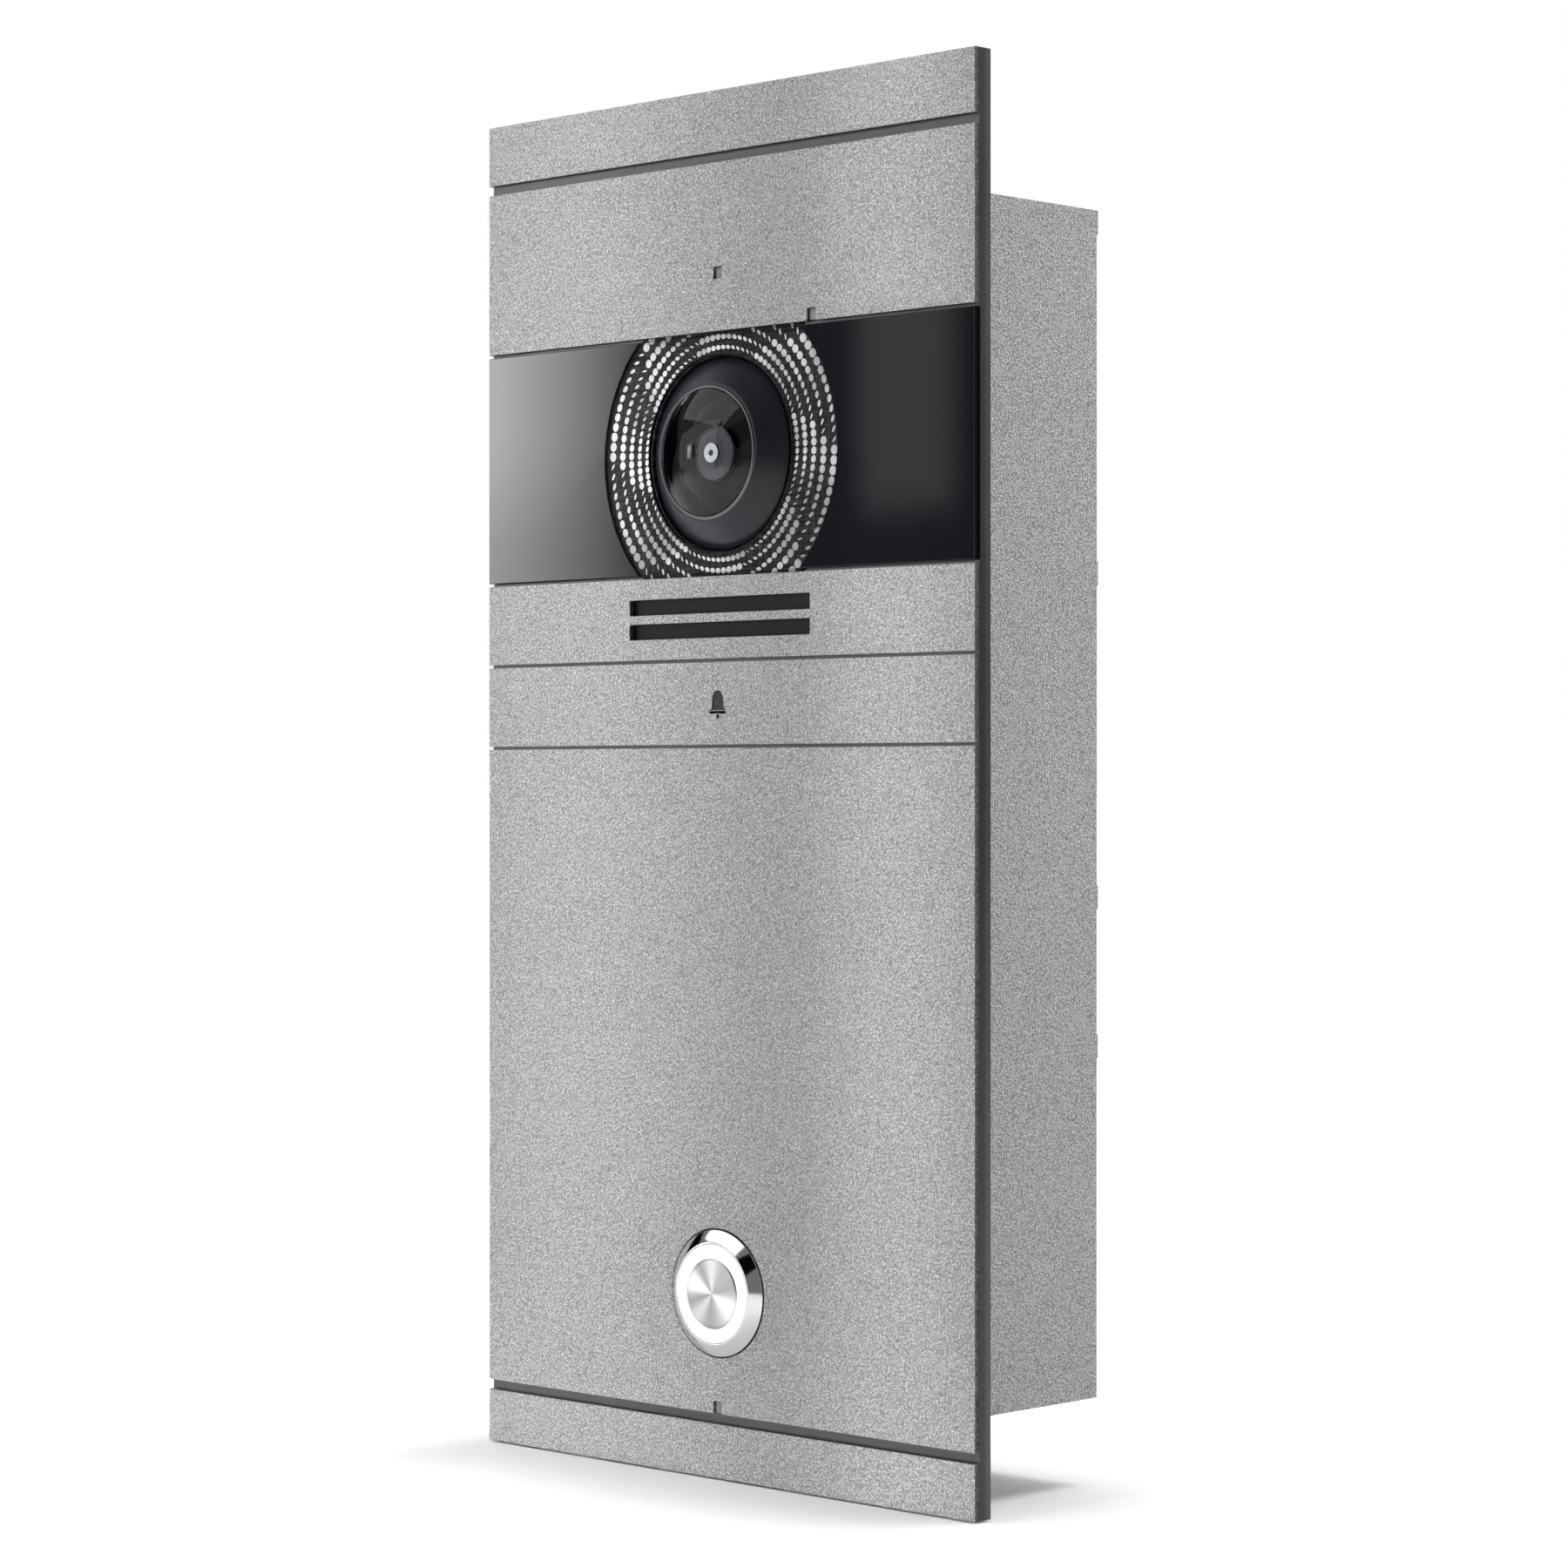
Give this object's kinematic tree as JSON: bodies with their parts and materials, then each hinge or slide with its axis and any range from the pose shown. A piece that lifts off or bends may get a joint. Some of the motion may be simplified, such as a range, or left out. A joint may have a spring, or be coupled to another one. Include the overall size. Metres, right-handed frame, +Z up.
{
  "type": "video doorbell",
  "caption": "Flush-mounted video door station: textured metal front, black glass camera window, speaker slots, ring-lit call button and a sheet-metal wall box behind.",
  "frame": {"origin": "middle of the wall box's rear face", "axes": "+X to the right as seen from the street, +Y into the wall, +Z up; the front faces -Y"},
  "size_m": [0.148, 0.0612, 0.3],
  "materials": {
    "powder_coat": "light grey hammer-texture powder coat",
    "carrier_metal": "smooth, dark anodised, satin",
    "black_glass": "polished, back-printed black",
    "clear_glass": "polished, coated",
    "black_metal": "black anodised, satin",
    "chrome": "mirror",
    "brushed_steel": "circular brushed",
    "steel": "zinc plated",
    "lit_plastic": "translucent white, lit from behind",
    "black_plastic": "fine moulded texture",
    "circuit_board": "glass-fibre board with green solder mask",
    "terminal_green": "moulded nylon",
    "rubber": "matt",
    "printed_reflector": "black with a printed ring of light dots",
    "speaker_paper": "treated paper",
    "copper": "enamelled copper wire",
    "film": "amber polyimide film",
    "spring_steel": "drawn wire"
  },
  "bodies": {
    "door_station": {"top_strip": "powder_coat", "upper_plate": "powder_coat", "speaker_plate": "powder_coat", "name_plate": "powder_coat", "lower_plate": "powder_coat", "bottom_strip": "powder_coat", "camera_window": "black_glass", "carrier": "carrier_metal", "wall_gasket": "rubber", "reflector_disc": "printed_reflector", "ir_board": "circuit_board", "lens_bezel": "black_metal", "lens_trim_ring": "chrome", "lens_dome": "clear_glass", "lens_barrel": "black_plastic", "inner_lens": "clear_glass", "aperture_ring": "steel", "camera_housing": "black_plastic", "sensor_board": "circuit_board", "speaker_mesh": "black_metal", "speaker_gasket": "rubber", "speaker_frame": "steel", "speaker_surround": "rubber", "speaker_magnet": "steel", "microphone_boot": "rubber", "microphone_capsule": "steel", "button_bezel": "chrome", "bezel_gasket": "rubber", "return_spring": "spring_steel", "button_led_board": "circuit_board", "switch_body": "black_plastic", "button_nut": "steel", "main_board": "circuit_board", "processor_shield": "steel", "relay": "black_plastic", "capacitor": "black_metal", "network_terminal": "terminal_green", "power_terminal": "terminal_green", "electronics_cover": "black_plastic", "cover_screw_1": "steel", "cover_screw_2": "steel", "cover_screw_3": "steel", "cover_screw_4": "steel", "camera_flex": "film", "speaker_lead": "black_plastic", "microphone_lead": "black_plastic", "button_lead": "black_plastic", "box_walls": "powder_coat", "box_back": "powder_coat", "panel_screw_1": "steel", "panel_screw_2": "steel", "panel_screw_3": "steel", "panel_screw_4": "steel", "cable_grommet": "rubber", "blank_grommet": "rubber"},
    "call_button": {"light_ring": "lit_plastic", "button_cap": "brushed_steel", "switch_stem": "lit_plastic"},
    "speaker_diaphragm": {"speaker_cone": "speaker_paper", "voice_coil": "copper"}
  },
  "joints": [
    {"name": "call_button_press", "type": "slide", "parent": "door_station", "child": "call_button", "axis": [0, 1, 0], "range_m": [0, 0.0015], "stiffness_N_per_m": 800, "springref_m": -0.0035, "deforming": ["return_spring"]},
    {"name": "speaker_excursion", "type": "slide", "parent": "door_station", "child": "speaker_diaphragm", "axis": [0, 1, 0], "range_m": [-0.0005, 0.0005], "stiffness_N_per_m": 1000, "deforming": ["speaker_surround"]}
  ]
}
